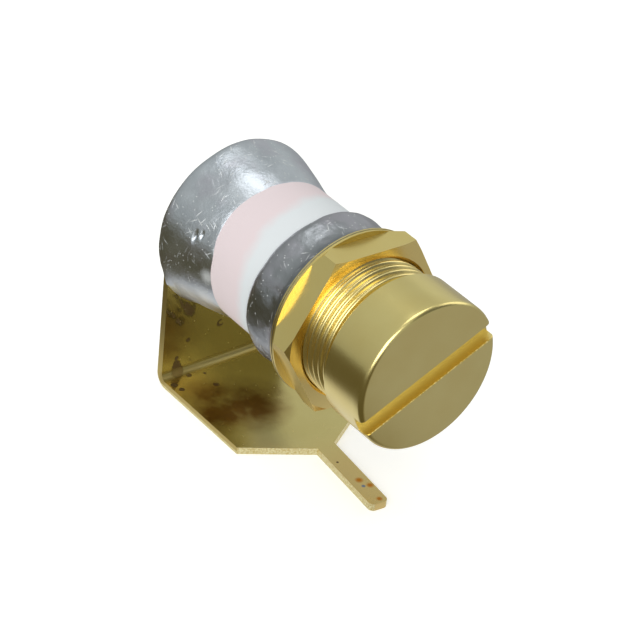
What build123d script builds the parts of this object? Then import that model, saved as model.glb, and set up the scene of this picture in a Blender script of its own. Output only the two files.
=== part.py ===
from build123d import *
import math
import os

# Concentric-ring air trimmer capacitor, resting on the foot of its terminal.
# Millimetres. +X runs along the barrel from the terminal's wall to the slotted head,
# +Z is up, and the origin is on the underside of the foot, in the middle of its pad.

# Terminal: one strip of brass sheet, folded square
sheet = 0.30
foot_width = 6.00
foot_side = 5.36
nose_length = 1.59
pin_width = 0.78
pin_length = 3.84
pin_lean = 5.5
pin_corner = 0.22
bend_inside = 0.25
pad_middle = 3.00
axis_height = 6.62

# Stator: base, spigot through the terminal, post and upright rings
stator_base = 0.65
spigot_radius = 0.75
spigot_proud = 0.15
spigot_clearance = 0.03
ring_pairs = 3
ring_air_gap = 0.14
ceramic_air_gap = 0.10
post_radius = 0.38
stator_ring_length = 3.30

# Ceramic insulator
ceramic_inset = 0.12
ceramic_wall = 0.53
ceramic_length = 4.50

# Bushing: threaded barrel, shoulder and hexagon turned from hexagonal bar
lip_length = 0.30
bushing_wall = 0.22
bushing_barrel_length = 1.78
bore_chamfer = 0.10
shoulder_height = 0.38
shoulder_thickness = 0.20
hex_across_flats = 6.35
hex_length = 1.00
hex_turn = -2.0
hex_rear_chamfer = 0.26
hex_front_chamfer = 0.08
hex_corner_cut = 0.236

# Drive screw: slotted head, threaded shank and the spigot for the rotor
thread_radius = 2.80
thread_clearance = 0.03
thread_pitch = 0.3175
thread_depth = 0.15
thread_crest = 0.07
relief_width = 0.16
relief_depth = 0.18
turns_in = 4
turns_out = 2
lip_margin = 0.08
head_gap = 1.43
head_radius = 3.03
head_length = 2.17
head_front_chamfer = 0.18
head_rear_chamfer = 0.05
shank_chamfer = 0.15
slot_width = 0.70
slot_depth = 0.80
slot_angle = 24.0
slot_off_centre = 0.10
rotor_spigot_radius = 0.45
rotor_spigot_clearance = 0.03

# Rotor rings
rotor_base = 0.60
rotor_end_gap = 0.05
rotor_ring_length = 2.90

# Solder, front and rear
rear_solder_length = 2.35
rear_solder_thickness = 0.55
rear_solder_round = 0.25
solder_edge = 0.15
front_solder_overlap = 0.28
front_solder_flank = 0.40
front_solder_thickness = 0.15
front_solder_step = 0.03

# Stations along the barrel, each one worked out from the piece behind it
wall_back = -pad_middle
wall_front = wall_back + sheet
foot_front = wall_back + foot_side
pin_root = foot_front + nose_length
stator_front = wall_front + stator_base
ceramic_front = stator_front + ceramic_length
lip_front = ceramic_front + lip_length
shoulder_back = ceramic_front + bushing_barrel_length
shoulder_front = shoulder_back + shoulder_thickness
hex_front = shoulder_front + hex_length
head_back = hex_front + head_gap
head_front = head_back + head_length
travel_in = turns_in * thread_pitch
travel_out = turns_out * thread_pitch
shank_back = lip_front + travel_in + lip_margin
rotor_front = shank_back - rotor_end_gap
rotor_back = rotor_front - rotor_base
rear_solder_front = wall_front + rear_solder_length
front_solder_back = ceramic_front - front_solder_overlap
thread_start = shank_back - thread_pitch
thread_end = head_back - relief_width

# Radii that follow from the sizes above, outwards from the thread
bushing_bore = thread_radius + thread_clearance
bushing_barrel_radius = bushing_bore + bushing_wall
shoulder_radius = bushing_barrel_radius + shoulder_height
hex_corner_radius = hex_across_flats / 2 / math.cos(math.radians(30))
front_solder_radius = bushing_barrel_radius + front_solder_thickness
ceramic_radius = bushing_barrel_radius - ceramic_inset
ceramic_bore = ceramic_radius - ceramic_wall
rear_solder_radius = ceramic_radius + rear_solder_thickness

# The rings of rotor and stator share the space between the post and the ceramic
ring_step = (ceramic_bore - ceramic_air_gap - post_radius) / ring_pairs
ring_wall = ring_step / 2 - ring_air_gap
rotor_ring_first = post_radius + ring_air_gap
stator_ring_first = rotor_ring_first + ring_wall + ring_air_gap
rotor_radius = rotor_ring_first + (ring_pairs - 1) * ring_step + ring_wall

# The half section: local x is along the barrel, local y is the radius
half_section = Plane((0, 0, axis_height), x_dir=(1, 0, 0), z_dir=(0, -1, 0))
barrel_axis = Axis((0, 0, axis_height), (1, 0, 0))


def station(x):
    """The plane square across the barrel at x, with its local y upwards."""
    return Plane((x, 0, axis_height), x_dir=(0, 1, 0), z_dir=(1, 0, 0))


def turned(x_from, x_to, r_in, r_out):
    """One wall of a turned piece in the half section."""
    with Locations(((x_from + x_to) / 2, (r_in + r_out) / 2)):
        Rectangle(x_to - x_from, r_out - r_in)


os.makedirs("parts", exist_ok=True)

# Terminal bracket: the wall stands behind the barrel, the foot runs forward under it
with BuildPart() as terminal_bracket:
    with BuildSketch(Plane.XZ) as fold:
        with BuildLine():
            Polyline(
                (foot_front, 0),
                (wall_back, 0),
                (wall_back, axis_height),
                (wall_front, axis_height),
                (wall_front, sheet),
                (foot_front, sheet),
                close=True,
            )
        make_face()
        outer_corner = fold.vertices().sort_by_distance((wall_back, 0))[0]
        fillet(outer_corner, radius=bend_inside + sheet)
        inner_corner = fold.vertices().sort_by_distance((wall_front, sheet))[0]
        fillet(inner_corner, radius=bend_inside)
    extrude(amount=foot_width / 2, both=True)
    # the foot narrows to a nose and ends in a pin, bent a little to one side
    with BuildSketch(Plane.XY) as nose:
        with BuildLine():
            Polyline(
                (foot_front, foot_width / 2),
                (pin_root, pin_width / 2),
                (pin_root, -pin_width / 2),
                (foot_front, -foot_width / 2),
                close=True,
            )
        make_face()
        # the pin starts inside the nose, so that its lean leaves no notch at the root
        with Locations(Location((pin_root, 0), -pin_lean)):
            with Locations((-pin_width, 0)):
                Rectangle(pin_length + pin_width, pin_width, align=(Align.MIN, Align.CENTER))
        fillet(nose.vertices().sort_by(Axis.X)[-2:], radius=pin_corner)
    extrude(amount=sheet)
    # the top of the wall is half round about the barrel, with the stator's hole in it
    with BuildSketch(station(wall_back)):
        Circle(foot_width / 2)
    extrude(amount=sheet)
    with BuildSketch(station(wall_back)):
        Circle(spigot_radius + spigot_clearance)
    extrude(amount=sheet, mode=Mode.SUBTRACT)
terminal_bracket.part.label = "terminal_bracket"
export_step(terminal_bracket.part, "parts/terminal_bracket.step")

# Stator: turned in one piece, its rings stand forward inside the ceramic
with BuildPart() as stator:
    with BuildSketch(half_section):
        turned(wall_back - spigot_proud, wall_front, 0, spigot_radius)
        turned(wall_front, stator_front, 0, ceramic_radius)
        turned(stator_front, stator_front + stator_ring_length, 0, post_radius)
        for ring in range(ring_pairs):
            inner = stator_ring_first + ring * ring_step
            turned(stator_front, stator_front + stator_ring_length, inner, inner + ring_wall)
    revolve(axis=barrel_axis)
stator.part.label = "stator"
export_step(stator.part, "parts/stator.step")

# Ceramic ring: the insulator between the two electrodes
with BuildPart() as ceramic_ring:
    with BuildSketch(half_section):
        turned(stator_front, ceramic_front, ceramic_bore, ceramic_radius)
    revolve(axis=barrel_axis)
ceramic_ring.part.label = "ceramic_ring"
export_step(ceramic_ring.part, "parts/ceramic_ring.step")

# Rear solder: a thick collar that joins terminal, stator and ceramic
with BuildPart() as rear_solder:
    with BuildSketch(half_section):
        with BuildLine():
            RadiusArc(
                (wall_back, rear_solder_radius - rear_solder_round),
                (wall_back + rear_solder_round, rear_solder_radius),
                rear_solder_round,
            )
            # it falls gently from its crest and turns down where it meets the ceramic
            TangentArc(
                (wall_back + rear_solder_round, rear_solder_radius),
                (rear_solder_front - solder_edge, ceramic_radius + solder_edge),
                tangent=(1, 0),
            )
            Polyline(
                (rear_solder_front - solder_edge, ceramic_radius + solder_edge),
                (rear_solder_front, ceramic_radius),
                (wall_back, ceramic_radius),
                (wall_back, rear_solder_radius - rear_solder_round),
            )
        make_face()
    revolve(axis=barrel_axis)
    # the wall of the terminal passes through the back of the collar
    with BuildSketch(station(wall_back)):
        Circle(foot_width / 2)
        with Locations((0, -axis_height / 2)):
            Rectangle(foot_width, axis_height)
    extrude(amount=sheet, mode=Mode.SUBTRACT)
rear_solder.part.label = "rear_solder"
export_step(rear_solder.part, "parts/rear_solder.step")

# Bushing: hexagonal bar with its corners turned off front and rear
with BuildPart() as bushing:
    with BuildSketch(station(shoulder_front)):
        RegularPolygon(hex_across_flats / 2, 6, major_radius=False, rotation=hex_turn)
    extrude(amount=hex_length)
    with BuildSketch(half_section):
        with BuildLine():
            Polyline(
                (shoulder_front, 0),
                (shoulder_front, shoulder_radius),
                (shoulder_front + hex_rear_chamfer, hex_corner_radius),
                (hex_front - hex_front_chamfer, hex_corner_radius),
                (hex_front, hex_corner_radius - hex_corner_cut),
                (hex_front, 0),
                close=True,
            )
        make_face()
    revolve(axis=barrel_axis, mode=Mode.INTERSECT)
    with BuildSketch(half_section):
        turned(shoulder_back, shoulder_front, 0, shoulder_radius)
        turned(ceramic_front, shoulder_back, 0, bushing_barrel_radius)
    revolve(axis=barrel_axis)
    with BuildSketch(half_section):
        turned(lip_front, hex_front, 0, bushing_bore)
        turned(ceramic_front, lip_front, 0, ceramic_bore)
    revolve(axis=barrel_axis, mode=Mode.SUBTRACT)
    mouth = bushing.edges().filter_by(GeomType.CIRCLE).group_by(Axis.X)[-1].sort_by(SortBy.RADIUS)[0]
    chamfer(mouth, length=bore_chamfer)
bushing.part.label = "bushing"
export_step(bushing.part, "parts/bushing.step")

# Front solder: a low band from the ceramic to the bushing's shoulder
with BuildPart() as front_solder:
    with BuildSketch(half_section):
        with BuildLine():
            # it rises steeply from the ceramic, runs level and climbs to the shoulder's rim
            Polyline(
                (front_solder_back, ceramic_radius),
                (front_solder_back + solder_edge, front_solder_radius),
                (shoulder_back - front_solder_flank, front_solder_radius),
                (shoulder_back, shoulder_radius - front_solder_step),
                (shoulder_back, bushing_barrel_radius),
                (ceramic_front, bushing_barrel_radius),
                (ceramic_front, ceramic_radius),
                close=True,
            )
        make_face()
    revolve(axis=barrel_axis)
front_solder.part.label = "front_solder"
export_step(front_solder.part, "parts/front_solder.step")

# Drive screw: head, shank and spigot turned in one piece, thread cut, slot sawn across the head
with BuildPart() as drive_screw:
    with BuildSketch(half_section) as blank:
        turned(head_back, head_front, 0, head_radius)
        turned(thread_end, head_back, 0, thread_radius - relief_depth)
        turned(shank_back, thread_end, 0, thread_radius)
        head_rim = blank.vertices().sort_by_distance((head_front, head_radius))[0]
        chamfer(head_rim, length=head_front_chamfer)
        head_heel = blank.vertices().sort_by_distance((head_back, head_radius))[0]
        chamfer(head_heel, length=head_rear_chamfer)
        shank_end = blank.vertices().sort_by_distance((shank_back, thread_radius))[0]
        chamfer(shank_end, length=shank_chamfer)
        turned(rotor_back, shank_back, 0, rotor_spigot_radius)
    revolve(axis=barrel_axis)
    # the thread's groove starts off the end of the shank and ends in the relief behind the head
    with BuildLine():
        helix = Helix(
            pitch=thread_pitch,
            height=thread_end - thread_start,
            radius=thread_radius,
            center=(thread_start, 0, axis_height),
            direction=(1, 0, 0),
        )
    # local x of the groove's section is the radius, and its mouth is as wide as the pitch less the crest
    groove_flank = (thread_pitch - thread_crest) / 2 / thread_depth
    groove_mouth = groove_flank * (thread_depth + thread_clearance)
    with BuildSketch(Plane(helix @ 0, x_dir=(0, 0, 1), z_dir=helix % 0)):
        with BuildLine():
            Polyline(
                (thread_clearance, groove_mouth),
                (-thread_depth, 0),
                (thread_clearance, -groove_mouth),
                close=True,
            )
        make_face()
    sweep(path=helix, is_frenet=True, mode=Mode.SUBTRACT)
    with BuildSketch(station(head_front)):
        with Locations(Location((0, 0), slot_angle)):
            with Locations((0, -slot_off_centre)):
                Rectangle(3 * head_radius, slot_width)
    extrude(amount=-slot_depth, mode=Mode.SUBTRACT)
drive_screw.part.label = "drive_screw"
export_step(drive_screw.part, "parts/drive_screw.step")

# Rotor: its rings reach back between the stator's rings, air all round them
with BuildPart() as rotor_rings:
    with BuildSketch(half_section):
        turned(rotor_back, rotor_front, rotor_spigot_radius + rotor_spigot_clearance, rotor_radius)
        for ring in range(ring_pairs):
            inner = rotor_ring_first + ring * ring_step
            turned(rotor_back - rotor_ring_length, rotor_back, inner, inner + ring_wall)
    revolve(axis=barrel_axis)
rotor_rings.part.label = "rotor_rings"
export_step(rotor_rings.part, "parts/rotor_rings.step")

print(f"ceramic front {ceramic_front:.3f}, hex front {hex_front:.3f}, head front {head_front:.3f}")
print(f"ceramic radius {ceramic_radius:.3f}, shoulder radius {shoulder_radius:.3f}")
print(f"ring wall {ring_wall:.3f}, rotor radius {rotor_radius:.3f}, ceramic bore {ceramic_bore:.3f}")
print(f"travel in {travel_in:.4f}, travel out {travel_out:.4f}")
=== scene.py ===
# %% [markdown]
# # A trimmer capacitor, dressed for its photograph
#
# The real part is about 12 mm long. A tube of ceramic is soldered between a folded brass terminal and
# a brass bushing, and a big slotted screw in the bushing tunes it. The plain shapes come from the
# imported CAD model, and this lesson gives them their finishes, a finer thread and lumpy solder.
#
# Everything is in metres in the model's own frame: +X along the barrel to the slotted head, +Z up.

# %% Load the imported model
import math

import bmesh
import bpy
from mathutils import Euler, Matrix, Vector, noise


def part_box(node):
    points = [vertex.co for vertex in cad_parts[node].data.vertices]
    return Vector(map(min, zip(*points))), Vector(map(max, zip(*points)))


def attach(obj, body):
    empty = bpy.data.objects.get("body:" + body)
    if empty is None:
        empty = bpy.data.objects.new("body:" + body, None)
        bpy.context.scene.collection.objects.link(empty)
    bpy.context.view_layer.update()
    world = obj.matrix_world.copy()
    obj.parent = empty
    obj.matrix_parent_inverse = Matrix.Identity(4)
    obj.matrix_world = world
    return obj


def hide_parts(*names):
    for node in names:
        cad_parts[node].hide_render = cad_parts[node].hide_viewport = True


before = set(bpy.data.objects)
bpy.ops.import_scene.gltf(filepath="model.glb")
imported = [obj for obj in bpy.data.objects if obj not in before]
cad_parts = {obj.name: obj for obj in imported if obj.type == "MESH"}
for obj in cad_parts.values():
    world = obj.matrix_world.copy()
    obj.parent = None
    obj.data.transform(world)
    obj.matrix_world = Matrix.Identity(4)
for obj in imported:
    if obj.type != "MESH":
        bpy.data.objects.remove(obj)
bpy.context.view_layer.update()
mm = 0.001

# %% [markdown]
# ## Measures read from the model
#
# A piece that stands in for a node has to sit where the node sits, so its stations come from the
# nodes' boxes and aren't typed in again. The few values that a box can't give are the model's own
# sizes, such as the pitch of the thread.

# %% Measures
def span(node):
    """Where a node starts and ends along the barrel, in millimetres."""
    low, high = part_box(node)
    return low.x / mm, high.x / mm


def top_radius(node):
    """Largest radius of a node that is turned about the barrel, in millimetres."""
    low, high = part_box(node)
    return (high.y - low.y) / 2 / mm


ceramic_low, ceramic_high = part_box("ceramic_ring")
axis_height = (ceramic_low.z + ceramic_high.z) / 2 / mm
ceramic_radius = top_radius("ceramic_ring")
screw_back, head_front = span("drive_screw")
head_radius = top_radius("drive_screw")
rear_solder_back, rear_solder_front = span("rear_solder")
front_solder_back, front_solder_front = span("front_solder")
sheet = 0.30
wall_front = rear_solder_back + sheet
thread_pitch = 0.3175
thread_radius = 2.80
head_length = 2.17
head_back = head_front - head_length
print("barrel axis at", round(axis_height, 2), "mm")
print("head from", round(head_back, 2), "to", round(head_front, 2), "mm")

# %% [markdown]
# ## Small helpers for colour, nodes and meshes
#
# Colours are written as the hex values that a paint program shows, and one function turns them to the
# linear values that Blender mixes. One function adds a shader node with its settings and its links.

# %% Helpers
def linear(hex_colour):
    """The linear RGBA of an sRGB hex colour."""
    channels = [int(hex_colour[i:i + 2], 16) / 255 for i in (1, 3, 5)]
    return [c / 12.92 if c <= 0.04045 else ((c + 0.055) / 1.055) ** 2.4 for c in channels] + [1.0]


def add_node(tree, kind, inputs=None, **settings):
    """Adds one shader node. inputs maps a socket to a value, or to the socket that feeds it."""
    node = tree.nodes.new(kind)
    for name, value in settings.items():
        setattr(node, name, value)
    for socket, value in (inputs or {}).items():
        if isinstance(value, bpy.types.NodeSocket):
            tree.links.new(value, node.inputs[socket])
        else:
            node.inputs[socket].default_value = value
    return node


def new_material(name):
    """A material with an empty node tree, and that tree."""
    material = bpy.data.materials.new(name)
    material.use_nodes = True
    material.node_tree.nodes.clear()
    return material, material.node_tree


def mesh_object(name, mesh, material):
    """Puts a finished bmesh into the scene as an object with one material."""
    data = bpy.data.meshes.new(name)
    mesh.to_mesh(data)
    mesh.free()
    data.materials.append(material)
    piece = bpy.data.objects.new(name, data)
    bpy.context.scene.collection.objects.link(piece)
    return piece


# %% [markdown]
# ## The camera
#
# The photograph was taken from the front left, 35 degrees up, with the camera a little rolled. The
# values were fitted to the edges of the real part. The aim is tilted so that the point the fit used
# lands on its own pixel, which needs no lens shift.

# %% Camera
photo_pixels = 640
focal_pixels = 2671.646
camera_distance = 99.443 * mm
camera_azimuth = math.radians(49.487)
camera_elevation = math.radians(34.747)
camera_roll = math.radians(6.26)
fitted_point = Vector((3.0, 0.0, 4.0)) * mm
fitted_pixel = (319.718, 352.89)

level = math.cos(camera_elevation)
backward = Vector((
    math.sin(camera_azimuth) * level,
    -math.cos(camera_azimuth) * level,
    math.sin(camera_elevation),
))
rightward = Vector((math.cos(camera_azimuth), math.sin(camera_azimuth), 0.0))
upward = backward.cross(rightward)
looking = Matrix((rightward, upward, backward)).transposed()
aim_up = math.atan((fitted_pixel[1] - photo_pixels / 2) / focal_pixels)
aim_left = math.atan((fitted_pixel[0] - photo_pixels / 2) / focal_pixels)
aim = Euler((aim_up, aim_left, 0.0)).to_matrix()
turned_camera = looking @ Matrix.Rotation(camera_roll, 3, "Z") @ aim

camera_data = bpy.data.cameras.new("photo camera")
camera_data.sensor_width = 36.0
camera_data.lens = focal_pixels / photo_pixels * camera_data.sensor_width
camera_data.clip_start = 1 * mm
camera_data.clip_end = 10.0
camera = bpy.data.objects.new("photo camera", camera_data)
camera.matrix_world = Matrix.Translation(fitted_point + backward * camera_distance) @ turned_camera.to_4x4()
bpy.context.scene.collection.objects.link(camera)
bpy.context.scene.camera = camera
bpy.context.scene.view_settings.view_transform = "Standard"
print("lens", round(camera_data.lens, 1), "mm, camera at", [round(v / mm, 1) for v in camera.location])

# %% [markdown]
# ## Studio: a pale tent, three soft lamps and a white sheet
#
# Metal shows its surroundings more than its own colour, so the surroundings matter most. The tent is
# mid grey and a little brighter overhead, with a dark card to the right that the terminal mirrors, and
# a paler wall behind. The key box stands to the front left, where the cylinders don't mirror it but
# their rounded edges do. A smaller box hangs overhead for the solder, and a weak one stands behind. In
# mirrors the sheet glows with painted light, white under the part, and falls off to painted shade
# to the left, a little warm where dim. The camera itself sees sheet and tent as white.

# %% Tent
world = bpy.data.worlds.new("pale tent")
bpy.context.scene.world = world
world.use_nodes = True
tent = world.node_tree
tent.nodes.clear()
tent_horizon = 0.40
tent_overhead = 0.54
overhead_from = 0.9
direction = add_node(tent, "ShaderNodeTexCoord")
parts = add_node(tent, "ShaderNodeSeparateXYZ", {0: direction.outputs["Generated"]})
brightness = add_node(tent, "ShaderNodeMapRange", {
    "Value": parts.outputs["Z"],
    "From Min": 0.0,
    "From Max": overhead_from,
    "To Min": tent_horizon,
    "To Max": tent_overhead,
})
# An edge is given as two cosines to the middle: the card or wall starts at one and is full at the other.
card_direction = (0.63, 0.53, 0.57)
card_share = 0.30
card_starts = 0.84
card_full = 0.95
towards_card = add_node(tent, "ShaderNodeVectorMath", {
    0: direction.outputs["Generated"],
    1: card_direction,
}, operation="DOT_PRODUCT")
card = add_node(tent, "ShaderNodeMapRange", {
    "Value": towards_card.outputs["Value"],
    "From Min": card_starts,
    "From Max": card_full,
    "To Min": 1.0,
    "To Max": card_share,
}, interpolation_type="SMOOTHSTEP")
carded = add_node(tent, "ShaderNodeMath", {
    0: brightness.outputs["Result"],
    1: card.outputs["Result"],
}, operation="MULTIPLY")
white_wall_direction = (-0.55, 0.83, 0.10)
white_wall_share = 1.35
white_wall_starts = 0.86
white_wall_full = 0.97
towards_wall = add_node(tent, "ShaderNodeVectorMath", {
    0: direction.outputs["Generated"],
    1: white_wall_direction,
}, operation="DOT_PRODUCT")
white_wall = add_node(tent, "ShaderNodeMapRange", {
    "Value": towards_wall.outputs["Value"],
    "From Min": white_wall_starts,
    "From Max": white_wall_full,
    "To Min": 1.0,
    "To Max": white_wall_share,
}, interpolation_type="SMOOTHSTEP")
walled = add_node(tent, "ShaderNodeMath", {
    0: carded.outputs[0],
    1: white_wall.outputs["Result"],
}, operation="MULTIPLY")
tent_light = add_node(tent, "ShaderNodeBackground", {
    "Color": linear("#FBFFFA"),
    "Strength": walled.outputs[0],
})
white = add_node(tent, "ShaderNodeBackground", {"Color": linear("#FFFFFF"), "Strength": 1.0})
rays = add_node(tent, "ShaderNodeLightPath")
seen = add_node(tent, "ShaderNodeMixShader", {
    0: rays.outputs["Is Camera Ray"],
    1: tent_light.outputs[0],
    2: white.outputs[0],
})
add_node(tent, "ShaderNodeOutputWorld", {"Surface": seen.outputs[0]})


# %% Lamps
def soft_lamp(name, towards, distance, width, height, radiance):
    """An area lamp that faces the part. radiance is how bright it looks in a mirror."""
    lamp_data = bpy.data.lights.new(name, "AREA")
    lamp_data.shape = "RECTANGLE"
    lamp_data.size = width * mm
    lamp_data.size_y = height * mm
    lamp_data.energy = radiance * math.pi * width * height * mm ** 2
    lamp = bpy.data.objects.new(name, lamp_data)
    towards = Vector(towards).normalized()
    lamp.location = fitted_point + towards * distance * mm
    lamp.rotation_euler = towards.to_track_quat("Z", "Y").to_euler()
    bpy.context.scene.collection.objects.link(lamp)
    print(name, "gives", round(lamp_data.energy, 3), "W")


soft_lamp("key box", (0.54, -0.64, 0.55), 160, 120, 120, 2.7)
soft_lamp("overhead box", (-0.12, 0.10, 0.985), 160, 90, 90, 1.5)
soft_lamp("back box", (0.15, 0.85, 0.50), 180, 120, 120, 0.8)

# %% Sheet
sheet_size = 600 * mm
sheet_drop = 0.01 * mm
mesh = bmesh.new()
bmesh.ops.create_grid(mesh, x_segments=1, y_segments=1, size=sheet_size / 2)
paper, paper_tree = new_material("white paper sheet")
sheet_floor = mesh_object("paper_sheet", mesh, paper)
sheet_floor.location = (0, 0, -sheet_drop)

# Painted light: in mirrors the sheet glows bright under the part and fades to painted shade further out,
# darkest to the left and warm where dim.
paper_place = add_node(paper_tree, "ShaderNodeTexCoord")
paper_axes = add_node(paper_tree, "ShaderNodeSeparateXYZ", {0: paper_place.outputs["Object"]})
lit_middle = Vector((1.0, 0.0, 0.0)) * mm
lit_reach = 5.5 * mm
dim_reach = 10.0 * mm
lit_grey = 0.74
left_edge = -4.0 * mm
right_edge = 5.0 * mm
left_grey = 0.11
right_grey = 0.37
neutral_grey = 0.34
camera_lift = 0.45
from_middle = add_node(paper_tree, "ShaderNodeVectorMath", {
    0: paper_place.outputs["Object"],
    1: lit_middle,
}, operation="DISTANCE")
to_the_right = add_node(paper_tree, "ShaderNodeMapRange", {
    "Value": paper_axes.outputs["Y"],
    "From Min": left_edge,
    "From Max": right_edge,
    "To Min": left_grey,
    "To Max": right_grey,
}, interpolation_type="SMOOTHSTEP")
paper_light = add_node(paper_tree, "ShaderNodeMapRange", {
    "Value": from_middle.outputs["Value"],
    "From Min": lit_reach,
    "From Max": dim_reach,
    "To Min": lit_grey,
    "To Max": to_the_right.outputs["Result"],
}, interpolation_type="SMOOTHSTEP")
painted_light_share = add_node(paper_tree, "ShaderNodeMapRange", {
    "Value": paper_light.outputs["Result"], "From Min": left_grey, "From Max": neutral_grey})
sheet_shade_tint = add_node(paper_tree, "ShaderNodeMix", {
    0: painted_light_share.outputs["Result"],
    6: linear("#FFEFB6"),
    7: linear("#FFFFFF"),
}, data_type="RGBA")
rays = add_node(paper_tree, "ShaderNodeLightPath")
painted_sheet_glow = add_node(paper_tree, "ShaderNodeEmission", {
    "Color": sheet_shade_tint.outputs[2], "Strength": paper_light.outputs["Result"]})
paper_face = add_node(paper_tree, "ShaderNodeBsdfDiffuse", {"Color": linear("#F4F4F2")})
lifted = add_node(paper_tree, "ShaderNodeEmission", {
    "Color": linear("#FFFFFF"), "Strength": camera_lift})
seen_paper = add_node(paper_tree, "ShaderNodeAddShader", {
    0: paper_face.outputs[0], 1: lifted.outputs[0]})
in_mirrors = add_node(paper_tree, "ShaderNodeMixShader", {
    0: rays.outputs["Is Glossy Ray"],
    1: paper_face.outputs[0],
    2: painted_sheet_glow.outputs[0],
})
either = add_node(paper_tree, "ShaderNodeMixShader", {
    0: rays.outputs["Is Camera Ray"],
    1: in_mirrors.outputs[0],
    2: seen_paper.outputs[0],
})
add_node(paper_tree, "ShaderNodeOutputMaterial", {"Surface": either.outputs[0]})

# %% [markdown]
# ## Two helpers for finishes
#
# Every finish is painted in the part's own millimetres, so that its scale is real. Stains are listed
# as spots: where they are and how far they reach. Sheared edges are found by the direction in which
# the surface faces.

# %% Finish helpers
def object_place(tree):
    """Position on the part in millimetres, as a vector, and its three parts."""
    place = add_node(tree, "ShaderNodeTexCoord")
    scaled = add_node(tree, "ShaderNodeVectorMath", {0: place.outputs["Object"], "Scale": 1 / mm},
                      operation="SCALE")
    split = add_node(tree, "ShaderNodeSeparateXYZ", {0: scaled.outputs[0]})
    return scaled.outputs[0], split


def spots(tree, place, centres, soft=0.5):
    """A mask of 1 inside the listed spots. A spot is x, y, z and radius, in millimetres."""
    mask = None
    for x, y, z, radius in centres:
        away = add_node(tree, "ShaderNodeVectorMath", {0: place, 1: (x, y, z)}, operation="DISTANCE")
        inside = add_node(tree, "ShaderNodeMapRange", {
            "Value": away.outputs["Value"],
            "From Min": radius * (1 - soft),
            "From Max": radius * (1 + soft),
            "To Min": 1.0,
            "To Max": 0.0,
        })
        if mask is None:
            mask = inside.outputs[0]
        else:
            both = add_node(tree, "ShaderNodeMath", {
                0: mask, 1: inside.outputs[0]}, operation="MAXIMUM")
            mask = both.outputs[0]
    return mask


def facing(tree, axis, low, high):
    """A mask that rises from 0 to 1 as the surface's own normal leans along an axis from low to high."""
    surface = add_node(tree, "ShaderNodeTexCoord")
    leaning = add_node(tree, "ShaderNodeSeparateXYZ", {0: surface.outputs["Normal"]})
    size = add_node(tree, "ShaderNodeMath", {0: leaning.outputs[axis]}, operation="ABSOLUTE")
    mask = add_node(tree, "ShaderNodeMapRange", {
        "Value": size.outputs[0], "From Min": low, "From Max": high})
    return mask.outputs[0]


# %% [markdown]
# ## Gold plating on the stamped terminal
#
# All the metal but the solder is brass with a thin gold plating. The terminal is stamped from rolled
# sheet: its faces are smooth and mirror the tent, and its sheared edges are rough and look pale.
# Painted shade browns the foot under the barrel, and soldering has burnt flux on to it near the bend.
# The stains lie on the wall's front face and on top of the foot, so they are listed with those two
# places. The stator shows only as the end of its spigot in the wall's hole, and takes the same finish.

# %% Gold on the terminal: plain plating
stamped_gold, tree = new_material("gold plated brass sheet")
place, split = object_place(tree)
cloud = add_node(tree, "ShaderNodeTexNoise", {
    "Vector": place, "Scale": 0.55, "Detail": 3.0, "Roughness": 0.6})
grain = add_node(tree, "ShaderNodeTexNoise", {
    "Vector": place, "Scale": 11.0, "Detail": 4.0, "Roughness": 0.7})
plating = add_node(tree, "ShaderNodeMix", {
    0: cloud.outputs["Fac"],
    6: linear("#F5E6A0"),
    7: linear("#E8D68C"),
}, data_type="RGBA")
pin_root = 3.2
pin_middle = 5.2
along_pin = add_node(tree, "ShaderNodeMapRange", {
    "Value": split.outputs["X"], "From Min": pin_root, "From Max": pin_middle})
handled = add_node(tree, "ShaderNodeMix", {
    0: along_pin.outputs[0],
    6: plating.outputs[2],
    7: linear("#F0D48E"),
}, data_type="RGBA")

# %% Gold on the terminal: painted shade and flux
fret = add_node(tree, "ShaderNodeTexNoise", {
    "Vector": place, "Scale": 1.3, "Detail": 4.0, "Roughness": 0.6})
# Painted shade: the foot is browned where it lies under the barrel.
shade_under_barrel = spots(tree, place, [
    (0.3, -1.1, sheet, 1.35), (0.3, -2.3, sheet, 1.0), (-0.8, -1.9, sheet, 0.9)], 0.6)
painted_shade_cloud = add_node(tree, "ShaderNodeMath", {
    0: shade_under_barrel, 1: fret.outputs["Fac"]}, operation="MULTIPLY")
painted_shade_share = add_node(tree, "ShaderNodeMapRange", {
    "Value": painted_shade_cloud.outputs[0], "From Min": 0.05, "From Max": 0.55, "To Min": 0.0, "To Max": 0.9})
barrel_shade_tint = add_node(tree, "ShaderNodeMix", {
    0: painted_shade_share.outputs[0],
    6: handled.outputs[2],
    7: linear("#8A5A18"),
}, data_type="RGBA")
drip_lean = math.radians(-60)
drip_length = 1.3
drip_width = 0.3
stretched = add_node(tree, "ShaderNodeMapping", {
    "Vector": place,
    "Rotation": (drip_lean, 0.0, 0.0),
    "Scale": (1.0, drip_length, drip_width),
}, vector_type="TEXTURE")
drips = add_node(tree, "ShaderNodeTexNoise", {
    "Vector": stretched.outputs[0], "Scale": 1.0, "Detail": 4.0, "Roughness": 0.6})
near_solder = spots(tree, place, [
    (wall_front, -2.6, 3.45, 0.70), (wall_front, -1.9, 3.25, 0.55),
    (wall_front, -2.3, 2.80, 0.38), (wall_front, -2.8, 3.9, 0.5),
], 0.5)
dripped = add_node(tree, "ShaderNodeMath", {
    0: near_solder, 1: drips.outputs["Fac"]}, operation="MULTIPLY")
drip_mask = add_node(tree, "ShaderNodeMapRange", {
    "Value": dripped.outputs[0], "From Min": 0.42, "From Max": 0.58, "To Min": 0.0, "To Max": 0.9})
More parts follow.
